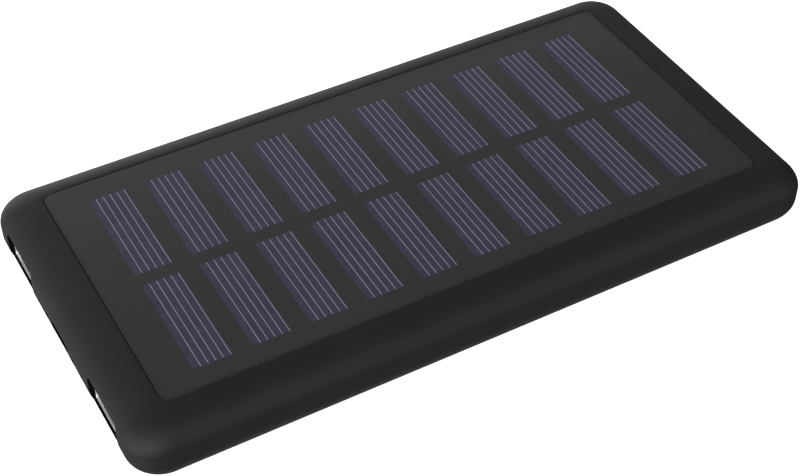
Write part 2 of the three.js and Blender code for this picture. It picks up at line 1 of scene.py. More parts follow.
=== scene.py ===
"""Solar phone charger: the fine shapes, materials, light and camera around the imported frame.

Everything is in metres in the frame's own axes: the origin is under the middle of the charger,
+X runs away from the sockets, +Y points at the long side with the button, and +Z is up.
"""

import json
import math

import bmesh
import bpy
from mathutils import Matrix, Vector


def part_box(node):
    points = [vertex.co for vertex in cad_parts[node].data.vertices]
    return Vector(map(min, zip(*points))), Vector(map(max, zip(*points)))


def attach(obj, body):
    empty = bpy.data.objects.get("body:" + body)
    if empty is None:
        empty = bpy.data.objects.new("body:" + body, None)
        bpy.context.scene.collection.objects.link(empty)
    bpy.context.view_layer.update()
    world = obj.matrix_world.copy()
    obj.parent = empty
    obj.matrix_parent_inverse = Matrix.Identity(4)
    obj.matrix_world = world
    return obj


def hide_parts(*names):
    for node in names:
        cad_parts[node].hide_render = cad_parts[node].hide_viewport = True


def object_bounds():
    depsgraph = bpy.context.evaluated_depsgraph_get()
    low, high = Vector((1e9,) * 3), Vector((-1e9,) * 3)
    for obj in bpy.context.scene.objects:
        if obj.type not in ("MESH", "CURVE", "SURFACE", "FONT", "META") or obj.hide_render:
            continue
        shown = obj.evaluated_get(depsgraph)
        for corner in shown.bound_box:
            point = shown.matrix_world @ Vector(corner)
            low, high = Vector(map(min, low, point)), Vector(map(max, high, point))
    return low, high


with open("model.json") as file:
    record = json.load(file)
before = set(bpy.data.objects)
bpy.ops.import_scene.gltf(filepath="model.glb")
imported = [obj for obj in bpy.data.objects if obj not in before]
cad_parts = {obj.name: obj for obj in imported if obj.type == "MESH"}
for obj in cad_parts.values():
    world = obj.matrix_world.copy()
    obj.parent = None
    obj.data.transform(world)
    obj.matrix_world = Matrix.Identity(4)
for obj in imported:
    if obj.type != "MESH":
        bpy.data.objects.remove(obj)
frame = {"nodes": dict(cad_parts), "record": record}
CAD_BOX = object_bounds()

MM = 0.001
BODY = "charger_body"
BUTTON_BODY = "button"

# ------------------------------------------------------------------ driving sizes

LOW, HIGH = (Vector(corner) for corner in CAD_BOX)
LENGTH = HIGH.x - LOW.x
WIDTH = HIGH.y - LOW.y
CROWN_Z = 13.7 * MM

CORNER_RADIUS = 6.5 * MM
CORNER_SHRINK = 0.5
TOP_ROUND = (7.5 * MM, 5.2 * MM)
BASE_ROUND = (7.9 * MM, 6.2 * MM)
WALL = 2.0 * MM
CORNER_STEPS = 20
ROUND_STEPS = 20
BELT_STEPS = 3

SEAM_GAP = 0.3 * MM
SEAM_CHAMFER = 0.12 * MM
LIP_GAP = 0.25 * MM
LIP_THICKNESS = 1.2 * MM
LIP_HEIGHT = 1.7 * MM
LIP_ROOT = 0.5 * MM
PANEL_GAP = 0.12 * MM
PANEL_EDGE = 0.1 * MM
ROOF_THICKNESS = 1.25 * MM

# The socket openings stand a little off the steel, and the steel shows at their lower edges.
SOCKET_GAP = 0.1 * MM
SOCKET_HEADROOM = 0.15 * MM
SOCKET_LIFT = 0.25 * MM
SOCKET_REACH = 0.15 * MM
SOCKET_CORNER = 0.7 * MM
SHEET = 0.3 * MM
MICRO_HALF = (4.05 * MM, 1.55 * MM)
MICRO_CORNER = 1.0 * MM
LIGHT_RADIUS = 1.0 * MM
PIN_RADIUS = 0.9 * MM

BUTTON_HALF = (4.5 * MM, 1.7 * MM)
BUTTON_GAP = 0.2 * MM
FLANGE_Y = 34.25 * MM
FLANGE_THICKNESS = 0.9 * MM
DISH_REACH = (10.5 * MM, 4.9 * MM)
DISH_DEPTH = 0.75 * MM
DISH_STEPS = 36


# ------------------------------------------------------------------ mesh helpers

def mesh_object(name, verts, faces, body=BODY):
    """A new object with a closed mesh, riding on a body."""
    mesh = bpy.data.meshes.new(name)
    mesh.from_pydata([tuple(v) for v in verts], [], faces)
    mesh.validate()
    piece = bpy.data.objects.new(name, mesh)
    bpy.context.scene.collection.objects.link(piece)
    if body:
        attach(piece, body)
    return piece


def loft(name, rings, body=BODY, closed=False):
    """A skin through rings of equal length. It has end caps, or joins its last ring to its first."""
    count = len(rings[0])
    faces = []
    spans = len(rings) if closed else len(rings) - 1
    for level in range(spans):
        here = level * count
        there = ((level + 1) % len(rings)) * count
        for i in range(count):
            j = (i + 1) % count
            faces.append((here + i, here + j, there + j, there + i))
    if not closed:
        faces.append(tuple(reversed(range(count))))
        faces.append(tuple(range((len(rings) - 1) * count, len(rings) * count)))
    piece = mesh_object(name, [p for ring in rings for p in ring], faces, body)
    face_outward(piece)
    return piece


def face_outward(piece):
    """Turns all faces outward."""
    work = bmesh.new()
    work.from_mesh(piece.data)
    bmesh.ops.recalc_face_normals(work, faces=work.faces)
    work.to_mesh(piece.data)
    work.free()


def smooth(piece, angle=32):
    """Smooth shading with creases at edges sharper than the angle."""
    piece.data.polygons.foreach_set("use_smooth", [True] * len(piece.data.polygons))
    piece.data.set_sharp_from_angle(angle=math.radians(angle))


def combine(piece, others, operation):
    """Joins other solids to a piece, or cuts them from it, and removes them."""
    for other in others:
        step = piece.modifiers.new("combine", "BOOLEAN")
        step.operation = operation
        step.solver = "EXACT"
        step.material_mode = "TRANSFER"
        step.object = other
    bpy.context.view_layer.update()
    evaluated = piece.evaluated_get(bpy.context.evaluated_depsgraph_get())
    result = bpy.data.meshes.new_from_object(evaluated)
    result.name = piece.name
    piece.modifiers.clear()
    piece.data = result
    for other in others:
        bpy.data.objects.remove(other)
    tidy(piece)
    return piece


def tidy(piece):
    """Removes doubled points and faces with no area."""
    work = bmesh.new()
    work.from_mesh(piece.data)
    bmesh.ops.remove_doubles(work, verts=work.verts, dist=1e-7)
    bmesh.ops.dissolve_degenerate(work, edges=work.edges, dist=1e-7)
    work.to_mesh(piece.data)
    work.free()


def cut(piece, cutters):
    return combine(piece, cutters, "DIFFERENCE")


def join(piece, parts):
    return combine(piece, parts, "UNION")


# ------------------------------------------------------------------ outlines

def rounded_outline(half_a, half_b, radius, steps=8):
    """Points of a rounded rectangle, counter-clockwise, each with its outward direction."""
    points = []
    for quarter, (sa, sb) in enumerate(((1, 1), (-1, 1), (-1, -1), (1, -1))):
        for step in range(steps + 1):
            angle = (quarter + step / steps) * math.pi / 2
            along = (math.cos(angle), math.sin(angle))
            centre = (sa * (half_a - radius), sb * (half_b - radius))
            points.append(((centre[0] + radius * along[0], centre[1] + radius * along[1]), along))
    return points


def widened(outline, offset):
    return [(p[0] + offset * n[0], p[1] + offset * n[1]) for p, n in outline]


# ------------------------------------------------------------------ the pillow shape

def inset_at(z):
    """How far the side stands in from the widest section at height z."""
    into_top = min((z - (CROWN_Z - TOP_ROUND[1])) / TOP_ROUND[1], 1)
    into_base = min((BASE_ROUND[1] - z) / BASE_ROUND[1], 1)
    if into_top > 0:
        return TOP_ROUND[0] * (1 - math.sqrt(1 - into_top**2))
    if into_base > 0:
        return BASE_ROUND[0] * (1 - math.sqrt(1 - into_base**2))
    return 0


def top_height(x, y):
    """Height of the top surface over a point near the panel."""
    inset = min(LENGTH / 2 - abs(x), WIDTH / 2 - abs(y))
    short = max(TOP_ROUND[0] - inset, 0) / TOP_ROUND[0]
    return CROWN_Z - TOP_ROUND[1] * (1 - math.sqrt(1 - short**2))


def side_levels(from_z, to_z):
    """Heights that follow the rounded side, closer together where it turns fastest."""
    quarter = [step / ROUND_STEPS * math.pi / 2 for step in range(ROUND_STEPS + 1)]
    base = [BASE_ROUND[1] * (1 - math.cos(t)) for t in quarter]
    top = [CROWN_Z - TOP_ROUND[1] * (1 - math.sin(t)) for t in quarter]
    belt_low, belt_high = base[-1], top[0]
    belt = [belt_low + (belt_high - belt_low) * i / BELT_STEPS for i in range(1, BELT_STEPS)]
    nearest = 0.02 * MM
    between = [z for z in base + belt + top if from_z + nearest < z < to_z - nearest]
    return [from_z, *sorted(between), to_z]


BUTTON_LOW, BUTTON_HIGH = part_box("power_button")
BUTTON_X = (BUTTON_LOW.x + BUTTON_HIGH.x) / 2
BUTTON_Z = (BUTTON_LOW.z + BUTTON_HIGH.z) / 2


def dish(x, z):
    """Depth of the finger dish around the button."""
    q = ((x - BUTTON_X) / DISH_REACH[0]) ** 2 + ((z - BUTTON_Z) / DISH_REACH[1]) ** 2
    return DISH_DEPTH * (1 - q) ** 2 if q < 1 else 0


def body_ring(inset, z, dished=False):
    """The body's outline at height z. The +Y side has extra points where the dish is."""
    radius = max(CORNER_RADIUS - CORNER_SHRINK * inset, 1 * MM)
    outline = rounded_outline(LENGTH / 2 - inset, WIDTH / 2 - inset, radius, CORNER_STEPS)
    ring = [(p[0], p[1], z) for p, _ in outline]
    first_corner = CORNER_STEPS + 1
    side = []
    for step in range(DISH_STEPS + 1):
        x = BUTTON_X + DISH_REACH[0] * (1 - 2 * step / DISH_STEPS)
        depth = dish(x, z) if dished else 0
        side.append((x, WIDTH / 2 - inset - depth, z))
    return ring[:first_corner] + side + ring[first_corner:]


def pillow(name, from_z, to_z, wall=0, dished=False):
    rings = [body_ring(inset_at(z) + wall, z, dished) for z in side_levels(from_z, to_z)]
    return loft(name, rings)


# ------------------------------------------------------------------ openings with rounded edges

EDGE_STEPS = 4
EDGE_START = math.radians(22)


def edge_profile(radius):
    """(offset outward, depth below the surface) down a rounded edge, from outside to inside."""
    lift = 0.1 * radius
    angles = [EDGE_START + (math.pi / 2 - EDGE_START) * i / EDGE_STEPS for i in range(EDGE_STEPS + 1)]
    profile = [(radius * (1 - math.sin(t)), radius * (1 - math.cos(t))) for t in angles]
    first_offset, first_depth = profile[0]
    run = (first_depth + lift) / math.tan(EDGE_START)
    return [(first_offset + run, -lift), *profile]


def opening(name, outline, place, edge, depth, clear=2 * MM):
    """A cutter for an opening: place(a, b, depth) puts a point of its outline on the body.

    The rounded edge keeps the outer finish, and the straight wall below it gets a near-black, low-gloss
    colour: painted shade for the dark inside of the opening.
    """
    profile = edge_profile(edge)
    profile = [(profile[0][0], -clear), *profile, (0, depth)]
    rings = [[place(a, b, down) for a, b in widened(outline, offset)] for offset, down in profile]
    cutter = loft(name, rings, body=None)
    for material in (SOFT_TOUCH, PAINTED_SHADE_PLASTIC):
        cutter.data.materials.append(material)
    wall_start = (len(profile) - 2) * len(outline)
    for face in cutter.data.polygons:
        face.material_index = 1 if face.index >= wall_start else 0
    return cutter


def on_port_end(y0, z0):
    return lambda a, b, down: (-LENGTH / 2 + inset_at(z0 + b) + down, y0 + a, z0 + b)


def on_button_side(a, b, down):
    x, z = BUTTON_X + a, BUTTON_Z + b
    return (x, WIDTH / 2 - inset_at(z) - dish(x, z) - down, z)


# ------------------------------------------------------------------ materials

def new_material(name):
    material = bpy.data.materials.new(name)
    material.use_nodes = True
    nodes = material.node_tree.nodes
    return material, nodes, material.node_tree.links, nodes["Principled BSDF"]


def object_noise(nodes, links, size, detail=2.0, roughness=0.5):
    """Noise with features of about the given size, fixed to the object."""
    coordinates = nodes.new("ShaderNodeTexCoord")
    noise = nodes.new("ShaderNodeTexNoise")
    noise.inputs["Scale"].default_value = 1 / size
    noise.inputs["Detail"].default_value = detail
    noise.inputs["Roughness"].default_value = roughness
    links.new(coordinates.outputs["Object"], noise.inputs["Vector"])
    return noise


def spread(nodes, links, source, low, high):
    """Maps a texture's middle range to low..high."""
    stretch = nodes.new("ShaderNodeMapRange")
    stretch.inputs["From Min"].default_value = 0.3
    stretch.inputs["From Max"].default_value = 0.7
    stretch.inputs["To Min"].default_value = low
    stretch.inputs["To Max"].default_value = high
    links.new(source, stretch.inputs["Value"])
    return stretch.outputs["Result"]


def tinted(nodes, links, factor, dark, light):
    """A colour between two others, by a factor."""
    ramp = nodes.new("ShaderNodeMix")
    ramp.data_type = "RGBA"
    ramp.inputs["A"].default_value = (*dark, 1)
    ramp.inputs["B"].default_value = (*light, 1)
    links.new(factor, ramp.inputs["Factor"])
    return ramp.outputs["Result"]


def bumped(nodes, links, shader, height, depth, strength=1.0):
    bump = nodes.new("ShaderNodeBump")
    bump.inputs["Strength"].default_value = strength
    bump.inputs["Distance"].default_value = depth
    links.new(height, bump.inputs["Height"])
    links.new(bump.outputs["Normal"], shader.inputs["Normal"])


def plastic(name, colour, roughness, specular=0.5, grain=0.15 * MM, grain_depth=0.01 * MM,
            variation=0.08, metallic=0.0, alpha=1.0):
    """A moulded or plated surface: its colour and gloss vary a little, over a fine grain."""
    material, nodes, links, shader = new_material(name)
    broad = object_noise(nodes, links, 9 * MM, detail=3)
    factor = spread(nodes, links, broad.outputs["Fac"], 0, 1)
    dark = [c * (1 - variation) for c in colour]
    light = [min(c * (1 + variation), 1) for c in colour]
    links.new(tinted(nodes, links, factor, dark, light), shader.inputs["Base Color"])
    fine = object_noise(nodes, links, grain, detail=2)
    rough = spread(nodes, links, fine.outputs["Fac"], roughness - 0.04, roughness + 0.04)
    links.new(rough, shader.inputs["Roughness"])
    bumped(nodes, links, shader, fine.outputs["Fac"], grain_depth)
    shader.inputs["Metallic"].default_value = metallic
    shader.inputs["Specular IOR Level"].default_value = specular
    shader.inputs["Alpha"].default_value = alpha
    return material


def silicon(name):
    """Blue-violet cell with faint crystal grains."""
    material, nodes, links, shader = new_material(name)
    coordinates = nodes.new("ShaderNodeTexCoord")
    grains = nodes.new("ShaderNodeTexVoronoi")
    grains.inputs["Scale"].default_value = 1 / (1.6 * MM)
    links.new(coordinates.outputs["Object"], grains.inputs["Vector"])
    shade = nodes.new("ShaderNodeSeparateColor")
    links.new(grains.outputs["Color"], shade.inputs["Color"])
    colour = tinted(nodes, links, shade.outputs["Red"], CELL_DARK, CELL_LIGHT)
    links.new(colour, shader.inputs["Base Color"])
    rough = spread(nodes, links, grains.outputs["Distance"], 0.36, 0.44)
    links.new(rough, shader.inputs["Roughness"])
    shader.inputs["Metallic"].default_value = 0.35
    shader.inputs["Specular IOR Level"].default_value = 0.35
    return material


CELL_DARK = (0.089, 0.083, 0.155)
CELL_LIGHT = (0.107, 0.100, 0.182)

SOFT_TOUCH = plastic("soft_touch_plastic", (0.015, 0.015, 0.015), 0.52, specular=0.31,
                     grain=0.26 * MM, grain_depth=0.04 * MM)
PANEL_FACE = plastic("panel_laminate", (0.048, 0.048, 0.048), 0.42, specular=0.42, grain=0.22 * MM,
                     grain_depth=0.018 * MM, variation=0.05)
FILM = plastic("clear_film", (0.03, 0.03, 0.03), 0.4, specular=0.5, grain=0.1 * MM,
               grain_depth=0.003 * MM, variation=0.02, alpha=0.12)
# Near-black for the film's side faces: painted shade for the dark line along the panel's edge.
FILM_EDGE_PAINTED_SHADE = plastic("film_edge_painted_shade", (0.008, 0.008, 0.008), 0.5, specular=0.2, grain=0.1 * MM)
CELL = silicon("solar_silicon")
SILVER = plastic("silver_print", (0.52, 0.51, 0.63), 0.42, grain=0.05 * MM, grain_depth=0.002 * MM,
                 metallic=0.3)
STEEL = plastic("socket_steel", (0.96, 0.96, 0.97), 0.3, grain=0.2 * MM, grain_depth=0.002 * MM,
                variation=0.03, metallic=1.0)
GOLD = plastic("contact_gold", (0.80, 0.55, 0.20), 0.25, grain=0.1 * MM, grain_depth=0.001 * MM,
               metallic=1.0)
# Near-black with little gloss for the walls inside the openings and the cavity: painted shade.
PAINTED_SHADE_PLASTIC = plastic("painted_shade_plastic", (0.002, 0.002, 0.002), 0.5, specular=0.06, grain=0.2 * MM)
INSULATOR = plastic("black_insulator", (0.01, 0.01, 0.011), 0.4, grain=0.1 * MM)
GUIDE = plastic("light_guide", (0.08, 0.12, 0.45), 0.2, grain=0.3 * MM, grain_depth=0.001 * MM)
BOARD = plastic("circuit_board", (0.012, 0.09, 0.045), 0.35, grain=0.4 * MM, variation=0.15)
TAPE = plastic("adhesive_foam", (0.6, 0.58, 0.5), 0.7, grain=0.3 * MM, grain_depth=0.02 * MM)
CHIP = plastic("led_package", (0.75, 0.78, 0.8), 0.35, grain=0.2 * MM)
FOIL = plastic("battery_foil", (0.5, 0.51, 0.53), 0.38, grain=0.9 * MM, grain_depth=0.03 * MM,
               metallic=0.85)
FERRITE = plastic("ferrite", (0.05, 0.05, 0.052), 0.75, grain=0.15 * MM, grain_depth=0.02 * MM)
RED_WIRE = plastic("lead_red", (0.42, 0.03, 0.02), 0.45, grain=0.3 * MM)
BLACK_WIRE = plastic("lead_black", (0.012, 0.012, 0.012), 0.45, grain=0.3 * MM)

SLOT_MATERIALS = {
    "soft_touch_plastic": SOFT_TOUCH, "panel_laminate": PANEL_FACE, "clear_film": FILM,
    "solar_silicon": CELL, "socket_steel": STEEL, "contact_gold": GOLD,
    "black_insulator": INSULATOR, "light_guide": GUIDE, "circuit_board": BOARD,
    "adhesive_foam": TAPE, "led_package": CHIP, "battery_foil": FOIL, "ferrite": FERRITE,
    "lead_red": RED_WIRE, "lead_black": BLACK_WIRE,
}


def finish_cad_nodes():
    """Gives every CAD node the material of its slot."""
    for entry in frame["record"]["subparts"]:
        mesh = frame["nodes"][entry["node"]].data
        mesh.materials.clear()
        mesh.materials.append(SLOT_MATERIALS[entry["material_slot"]])


def dress(piece, slot, *nodes, crease=32):
    """Gives a piece its material, unless it has some, smooths it, and hides the CAD nodes it stands for."""
    if not any(piece.data.materials):
        piece.data.materials.clear()
        piece.data.materials.append(SLOT_MATERIALS[slot])
    smooth(piece, crease)
    if nodes:
        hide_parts(*nodes)
    return piece


# ------------------------------------------------------------------ casing and cover

def build_casing():
    """The pillow-shaped shell, its cavity, and every opening in it."""
    base_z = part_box("upper_casing")[0].z
    casing = loft("casing_shell", [
        body_ring(inset_at(base_z) + SEAM_CHAMFER, base_z),
        *(body_ring(inset_at(z), z, True) for z in side_levels(base_z + SEAM_CHAMFER, CROWN_Z)),
    ])
    casing.data.materials.append(SOFT_TOUCH)
    roof_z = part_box("panel_adhesive")[0].z - ROOF_THICKNESS
    cavity = pillow("cavity", base_z - 1 * MM, roof_z, WALL)
    # The cavity's walls get the near-black painted shade too.
    cavity.data.materials.append(PAINTED_SHADE_PLASTIC)
    cut(casing, [cavity, panel_recess(), *port_openings(), button_opening()])
    return dress(casing, "soft_touch_plastic", "upper_casing")


def panel_recess():
    low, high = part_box("panel_film")
    centre = (low + high) / 2
    half_a, half_b = (high.x - low.x) / 2 + PANEL_GAP, (high.y - low.y) / 2 + PANEL_GAP
    outline = rounded_outline(half_a, half_b, PANEL_RADIUS + PANEL_GAP, 12)
    floor_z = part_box("panel_adhesive")[0].z - 0.05 * MM

    def on_top(a, b, down):
        x, y = centre.x + a, centre.y + b
        return (x, y, top_height(x, y) - down)

    return opening("recess", outline, on_top, PANEL_EDGE, CROWN_Z - floor_z)


def port_openings():
    cutters = []
    reach = WALL + 1 * MM
    for name in ("usb_a_shell_front", "usb_a_shell_back"):
        low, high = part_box(name)
        centre = (low + high) / 2
        half_a = (high.y - low.y) / 2 + SOCKET_GAP
        half_b = (high.z - low.z + SOCKET_HEADROOM - SOCKET_LIFT) / 2 + SOCKET_GAP
        outline = rounded_outline(half_a, half_b, SOCKET_CORNER, 6)
        place = on_port_end(centre.y, centre.z + (SOCKET_HEADROOM + SOCKET_LIFT) / 2)
        cutters.append(opening(name + "_hole", outline, place, 0.06 * MM, reach))
    low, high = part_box("micro_usb_shell")
    centre = (low + high) / 2
    outline = rounded_outline(*MICRO_HALF, MICRO_CORNER, 8)
    cutters.append(opening("micro_hole", outline, on_port_end(centre.y, centre.z), 0.08 * MM, reach))
    for y, z in light_places():
        outline = rounded_outline(LIGHT_RADIUS, LIGHT_RADIUS, 0.99 * LIGHT_RADIUS, 8)
        cutters.append(opening("light_hole", outline, on_port_end(y, z), 0.06 * MM, reach))
    return cutters


def light_places():
    """Where the four light guide pins come out of the port end."""
    guide_low, guide_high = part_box("light_guide_front")
    height = (guide_low.z + guide_high.z) / 2
    leds = [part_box(f"charge_led_{number}") for number in range(1, 5)]
    return [((low.y + high.y) / 2, height) for low, high in leds]


def button_opening():
    half_a, half_b = (half + BUTTON_GAP for half in BUTTON_HALF)
    outline = rounded_outline(half_a, half_b, half_b - 0.01 * MM, 10)
    return opening("button_hole", outline, on_button_side, 0.18 * MM, WALL + 1.5 * MM)


def build_cover():
    """The plate under the seam, and the lip that goes up inside the casing."""
    low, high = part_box("rear_cover")
    casing_low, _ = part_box("upper_casing")
    top_z = casing_low.z - SEAM_GAP
    cover = loft("cover_plate", [
        *(body_ring(inset_at(z), z) for z in side_levels(low.z, top_z - SEAM_CHAMFER)),
        body_ring(inset_at(top_z) + SEAM_CHAMFER, top_z),
    ])
    lip_inset = inset_at(top_z + SEAM_GAP / 2) + WALL + LIP_GAP
    lip_top = top_z + LIP_HEIGHT
    inner = lip_inset + LIP_THICKNESS
    root_z = top_z - LIP_ROOT
    lip = loft("cover_lip", [
        body_ring(lip_inset, root_z), body_ring(lip_inset, lip_top),
        body_ring(inner, lip_top), body_ring(inner, root_z)], closed=True)
    join(cover, [lip])
    return dress(cover, "soft_touch_plastic", "rear_cover")


# ------------------------------------------------------------------ solar panel

FINGER_COUNT = 5
FINGER_PITCH = 1.437 * MM
FINGER_FIRST = 1.44 * MM
FINGER_WIDTH = 0.17 * MM
FINGER_HEIGHT = 0.03 * MM
FINGER_SINK = 0.005 * MM
FINGER_STOP = 0.05 * MM
WAFER_RISE = 0.03 * MM
WAFER_RADIUS = 0.15 * MM
WAFER_BEVEL = 0.02 * MM
PANEL_RADIUS = 1.8 * MM
LAMINATE_BEVEL = 0.03 * MM
FILM_BEVEL = 0.05 * MM
PANEL_CORNER_STEPS = 12
BEVEL_STEPS = 3


def slab(name, low, high, radius, bevel, steps=6):
    """A rounded plate with a rounded upper edge."""
    half_a, half_b = (high.x - low.x) / 2, (high.y - low.y) / 2
    centre = (low + high) / 2
    outline = rounded_outline(half_a, half_b, radius, steps)

    def ring(inset, z):
        return [(centre.x + a, centre.y + b, z) for a, b in widened(outline, -inset)]

    turn = [i / BEVEL_STEPS * math.pi / 2 for i in range(BEVEL_STEPS + 1)]
    edge = [ring(bevel * (1 - math.cos(t)), high.z - bevel * (1 - math.sin(t))) for t in turn]
    return loft(name, [ring(0, low.z), *edge])


def build_panel():
    """The black laminate, the wafers let into it, and the clear film, whose side faces are near-black as
    painted shade.
    """
    low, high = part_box("panel_board")
    high.z -= WAFER_RISE
    face = slab("panel_laminate", low, high, PANEL_RADIUS, LAMINATE_BEVEL, PANEL_CORNER_STEPS)
    dress(face, "panel_laminate", "panel_board")
    low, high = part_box("panel_film")
    film = slab("panel_cover_film", low, high, PANEL_RADIUS, FILM_BEVEL, PANEL_CORNER_STEPS)
    for material in (FILM, FILM_EDGE_PAINTED_SHADE):
        film.data.materials.append(material)
    # Faces that stand more upright than flat get the near-black painted shade.
    for part in film.data.polygons:
        part.material_index = 1 if abs(part.normal.z) < 0.3 else 0
    dress(film, "clear_film", "panel_film")
    for node in sorted(frame["nodes"]):
        if node.startswith("solar_cell_"):
            build_cell(node)


def build_cell(node):
    """A wafer with its silver lines along Y."""
    low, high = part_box(node)
    wafer = slab(node.replace("solar_cell", "wafer"), low, high, WAFER_RADIUS, WAFER_BEVEL, 2)
    wafer.data.materials.append(CELL)
    fingers = bmesh.new()
    fingers.from_mesh(wafer.data)
    for number in range(FINGER_COUNT):
        x = low.x + FINGER_FIRST + number * FINGER_PITCH
        size = (FINGER_WIDTH, high.y - low.y - 2 * FINGER_STOP, FINGER_HEIGHT)
        centre = (x, (low.y + high.y) / 2, high.z + FINGER_HEIGHT / 2 - FINGER_SINK)
        made = bmesh.ops.create_cube(fingers, size=1)["verts"]
        bmesh.ops.scale(fingers, vec=size, verts=made)
        bmesh.ops.translate(fingers, vec=centre, verts=made)
        for face in {f for v in made for f in v.link_faces}:
            face.material_index = 1
    fingers.to_mesh(wafer.data)
    fingers.free()
    wafer.data.materials.append(SILVER)
    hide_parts(node)


# ------------------------------------------------------------------ sockets and lights

SHELL_CORNER = 0.6 * MM
RIM_STEPS = 6
MICRO_TOP_CORNER = 0.3 * MM
MICRO_BASE_CORNER = 0.9 * MM
MICRO_STEPS = 4
GUIDE_BAR = 1.2 * MM
GUIDE_BAR_RADIUS = 0.3 * MM
GUIDE_BAR_BEVEL = 0.15 * MM
PIN_ROOT = 0.6 * MM
# The domed tip of a pin: (distance behind the tip, how far its side stands in).
PIN_TIP = ((0, 0.35 * MM), (0.03 * MM, 0.15 * MM), (0.12 * MM, 0))


def tube(name, centre, sections, body=BODY):
    """A hollow sleeve along X through (x, outline offset) sections that come back on themselves."""
    outline, path = sections
    rings = [[(x, centre.y + a, centre.z + b) for a, b in widened(outline, offset)] for x, offset in path]
    return loft(name, rings, body, closed=True)


def sleeve_path(front, back, sheet):
    """Outside, round the front rim, inside, round the back rim."""
    turn = [math.pi * i / RIM_STEPS for i in range(RIM_STEPS + 1)]
    half = sheet / 2
    rim = [(front + half * (1 - math.sin(t)), -half + half * math.cos(t)) for t in turn]
    return [(back, 0), *rim, (back, -sheet)]


def build_sockets():
    """The steel sleeves of the two large sockets and the small inlet."""
    for side in ("front", "back"):
        node = f"usb_a_shell_{side}"
        low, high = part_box(node)
        low.z += SOCKET_LIFT
        outline = rounded_outline((high.y - low.y) / 2, (high.z - low.z) / 2, SHELL_CORNER, 6)
        path = sleeve_path(low.x - SOCKET_REACH, high.x, SHEET)
        sleeve = tube(f"usb_a_sleeve_{side}", (low + high) / 2, (outline, path))
        dress(sleeve, "socket_steel", node)
    low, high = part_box("micro_usb_shell")
    outline = micro_outline((high.y - low.y) / 2, (high.z - low.z) / 2)
    path = sleeve_path(low.x, high.x, SHEET)
    sleeve = tube("micro_usb_sleeve", (low + high) / 2, (outline, path))
    dress(sleeve, "socket_steel", "micro_usb_shell")


def micro_outline(half_a, half_b):
    """The small inlet's section: square shoulders above, sloping corners below."""
    outline = []
    corners = (
        (half_a, half_b, 0, MICRO_TOP_CORNER), (-half_a, half_b, 90, MICRO_TOP_CORNER),
        (-half_a, -half_b, 180, MICRO_BASE_CORNER), (half_a, -half_b, 270, MICRO_BASE_CORNER))
    for a, b, start, radius in corners:
        for step in range(MICRO_STEPS + 1):
            angle = math.radians(start + 90 * step / MICRO_STEPS)
            along = (math.cos(angle), math.sin(angle))
            centre = (math.copysign(abs(a) - radius, a), math.copysign(abs(b) - radius, b))
            outline.append(((centre[0] + radius * along[0], centre[1] + radius * along[1]), along))
    return outline


def build_light_guides():
    for side in ("front", "back"):
        node = f"light_guide_{side}"
        low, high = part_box(node)
        bar_low = Vector((high.x - GUIDE_BAR, low.y, low.z))
        bar = slab(f"guide_bar_{side}", bar_low, high, GUIDE_BAR_RADIUS, GUIDE_BAR_BEVEL, 3)
        sign = 1 if low.y > 0 else -1
        pins = [guide_pin(low.x, high.x - PIN_ROOT, y, z) for y, z in light_places() if y * sign > 0]
        join(bar, pins)
        dress(bar, "light_guide", node)


def guide_pin(tip_x, root_x, y, z):
    """A round pin along X with a domed tip."""
    circle = rounded_outline(PIN_RADIUS, PIN_RADIUS, PIN_RADIUS * 0.999, 6)
    path = [*((tip_x + behind, -inset) for behind, inset in PIN_TIP), (root_x, 0)]
    rings = [[(x, y + a, z + b) for a, b in widened(circle, offset)] for x, offset in path]
    return loft("guide_pin", rings, body=None)


# ------------------------------------------------------------------ button

CAP_EDGE = 0.45 * MM
CAP_EDGE_STEPS = 5
CAP_ROOT = 0.3 * MM
# The cap's face is a shallow cup: (how far in from its side, how deep).
CAP_CUP = ((0.9 * MM, 0.04 * MM), (1.4 * MM, 0.1 * MM))
FLANGE_HALF = (6 * MM, 2.4 * MM)
STEM_HALF = (2 * MM, 1.2 * MM)
STEM_BURY = 0.5 * MM


def build_button():
    """The pill-shaped cap with the flange that keeps it in, and the stem that meets the plunger."""
    low, high = BUTTON_LOW, BUTTON_HIGH
    face_y = high.y
    outline = rounded_outline(*BUTTON_HALF, BUTTON_HALF[1] - 0.01 * MM, 10)
    turn = [i / CAP_EDGE_STEPS * math.pi / 2 for i in range(CAP_EDGE_STEPS + 1)]
    profile = [(0, FLANGE_Y - CAP_ROOT)]
    profile += [(-CAP_EDGE * (1 - math.cos(t)), face_y - CAP_EDGE * (1 - math.sin(t))) for t in turn]
    profile += [(-inset, face_y - depth) for inset, depth in CAP_CUP]
    rings = [[(BUTTON_X + a, y, BUTTON_Z + b) for a, b in widened(outline, offset)]
             for offset, y in profile]
    cap = loft("button_cap", rings, BUTTON_BODY)
    flange = pill_block("flange", FLANGE_HALF, 1 * MM, FLANGE_Y - FLANGE_THICKNESS, FLANGE_Y)
    stem = pill_block("stem", STEM_HALF, 0.6 * MM, low.y, FLANGE_Y - STEM_BURY)
    join(cap, [flange, stem])
    return dress(cap, "soft_touch_plastic", "power_button")


def pill_block(name, half, radius, from_y, to_y):
    """A block along Y with rounded corners, centred on the button."""
    outline = rounded_outline(*half, radius, 4)
    rings = [[(BUTTON_X + p[0], y, BUTTON_Z + p[1]) for p, _ in outline] for y in (from_y, to_y)]
    return loft(name, rings, body=None)


# ------------------------------------------------------------------ studio

# A least-squares fit also solved the camera's place, direction and lens.
CAMERA_PLACE = Vector((-0.11665, -0.20703, 0.22349))
CAMERA_FORWARD = Vector((0.35422, 0.63370, -0.68771))
CAMERA_UP = Vector((0.33522, 0.60048, 0.72598))
LENS = 73.1


